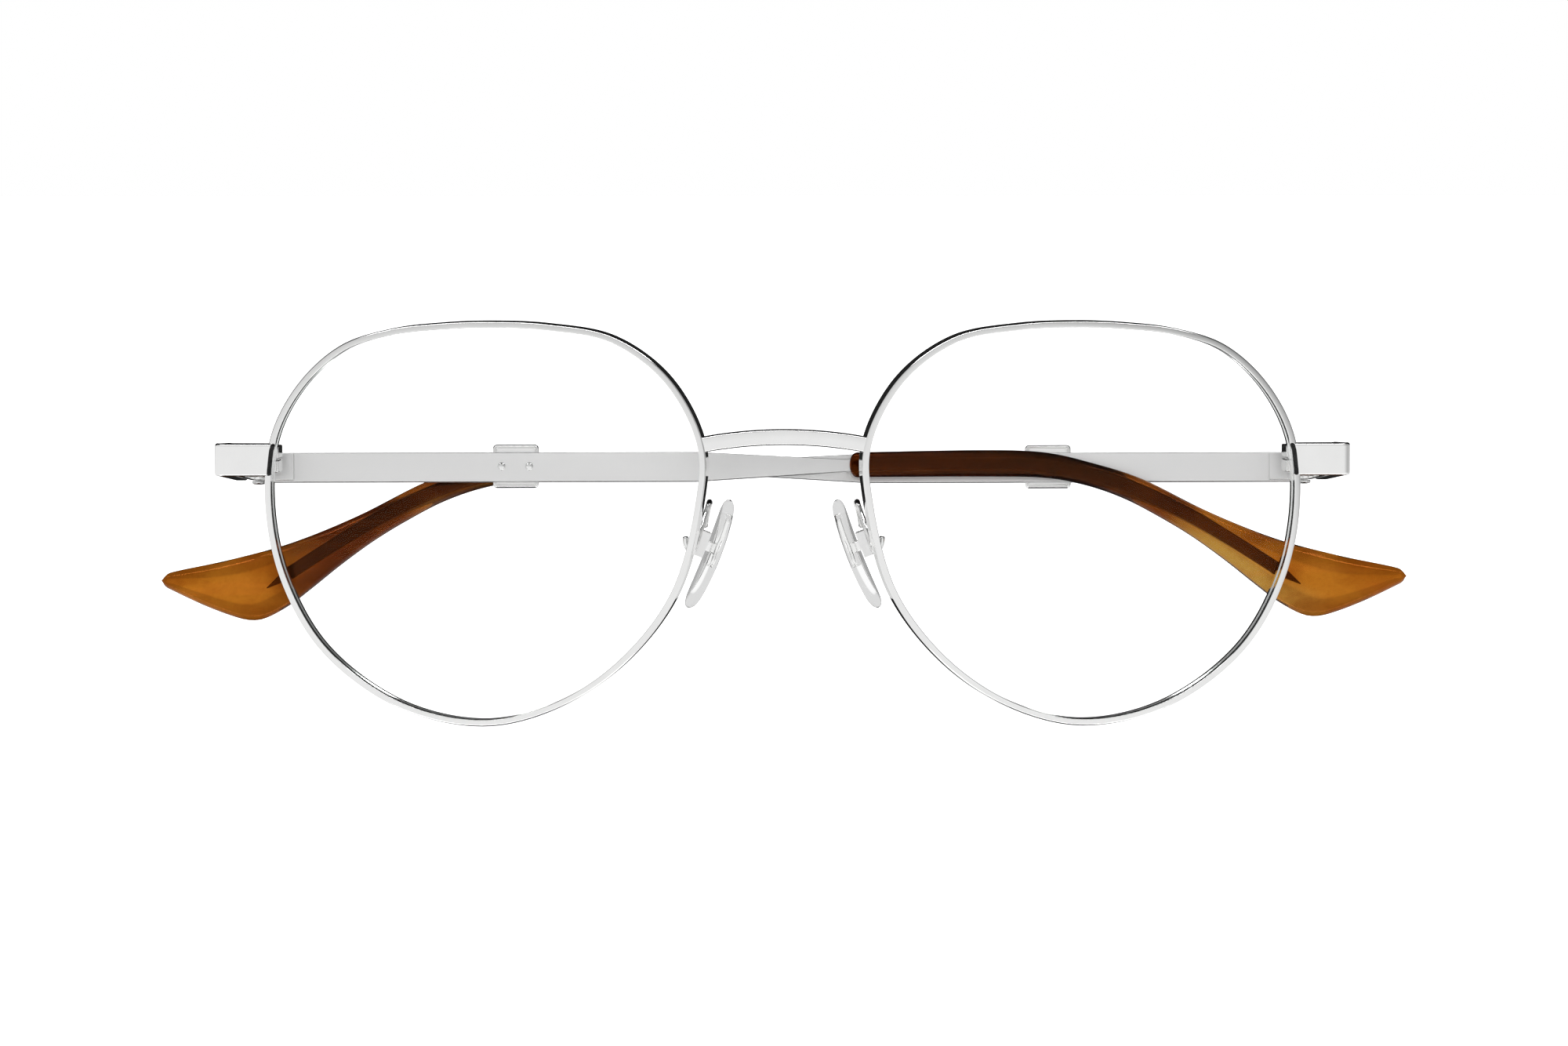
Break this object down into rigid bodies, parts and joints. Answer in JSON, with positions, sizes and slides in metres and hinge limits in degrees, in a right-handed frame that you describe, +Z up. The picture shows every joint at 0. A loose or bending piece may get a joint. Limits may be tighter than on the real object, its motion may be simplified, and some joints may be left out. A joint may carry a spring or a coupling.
{
  "type": "eyeglasses",
  "caption": "Round metal wire eyeglasses with slim flat temples, amber acetate tips and clear nose pads, folded shut",
  "frame": {"origin": "the middle of the bridge's flat back face", "axes": "+X to the wearer's left along the front, +Y back towards the face, +Z up along the lens plane"},
  "size_m": [0.1511, 0.023, 0.0485],
  "materials": {
    "polished_metal": "mirror-polished silver-coloured plating",
    "screw_steel": "turned stainless steel with slotted heads",
    "clear_lens": "clear polished demonstration lens, no tint",
    "clear_silicone": "clear glossy silicone",
    "amber_acetate": "polished translucent amber and dark brown acetate"
  },
  "bodies": {
    "front": {"bridge": "polished_metal", "right_rim": "polished_metal", "left_rim": "polished_metal", "right_lens": "clear_lens", "left_lens": "clear_lens", "right_end_piece": "polished_metal", "left_end_piece": "polished_metal", "right_rim_lock_upper": "polished_metal", "left_rim_lock_upper": "polished_metal", "right_rim_lock_lower": "polished_metal", "left_rim_lock_lower": "polished_metal", "right_rim_lock_screw": "screw_steel", "left_rim_lock_screw": "screw_steel", "right_front_hinge_leaf": "polished_metal", "left_front_hinge_leaf": "polished_metal", "right_hinge_screw": "screw_steel", "left_hinge_screw": "screw_steel", "right_pad_arm": "polished_metal", "left_pad_arm": "polished_metal", "right_pad_box": "polished_metal", "left_pad_box": "polished_metal", "right_pad_screw": "screw_steel", "left_pad_screw": "screw_steel"},
    "right_temple": {"right_temple_hinge_leaf": "polished_metal", "right_temple_bar": "polished_metal", "right_temple_plaque": "polished_metal", "right_front_rivet": "polished_metal", "right_rear_rivet": "polished_metal", "right_temple_tip": "amber_acetate"},
    "left_temple": {"left_temple_hinge_leaf": "polished_metal", "left_temple_bar": "polished_metal", "left_temple_plaque": "polished_metal", "left_front_rivet": "polished_metal", "left_rear_rivet": "polished_metal", "left_temple_tip": "amber_acetate"},
    "right_pad": {"right_nose_pad": "clear_silicone", "right_pad_insert": "polished_metal"},
    "left_pad": {"left_nose_pad": "clear_silicone", "left_pad_insert": "polished_metal"}
  },
  "joints": [
    {"name": "right_temple_fold", "type": "hinge", "parent": "front", "child": "right_temple", "pos_m": [-0.06345, 0.0149, -0.00438], "axis": [0, 0.1392, 0.9903], "range_deg": [0, 93]},
    {"name": "left_temple_fold", "type": "hinge", "parent": "front", "child": "left_temple", "pos_m": [0.06345, 0.0149, -0.00438], "axis": [0, -0.1392, -0.9903], "range_deg": [0, 90]},
    {"name": "right_pad_rock", "type": "hinge", "parent": "front", "child": "right_pad", "pos_m": [-0.00958, 0.00543, -0.0132], "axis": [-0.0649, 0.9976, 0.0256], "range_deg": [-8, 8]},
    {"name": "left_pad_rock", "type": "hinge", "parent": "front", "child": "left_pad", "pos_m": [0.00958, 0.00543, -0.0132], "axis": [0.0649, 0.9976, 0.0256], "range_deg": [-8, 8]}
  ]
}
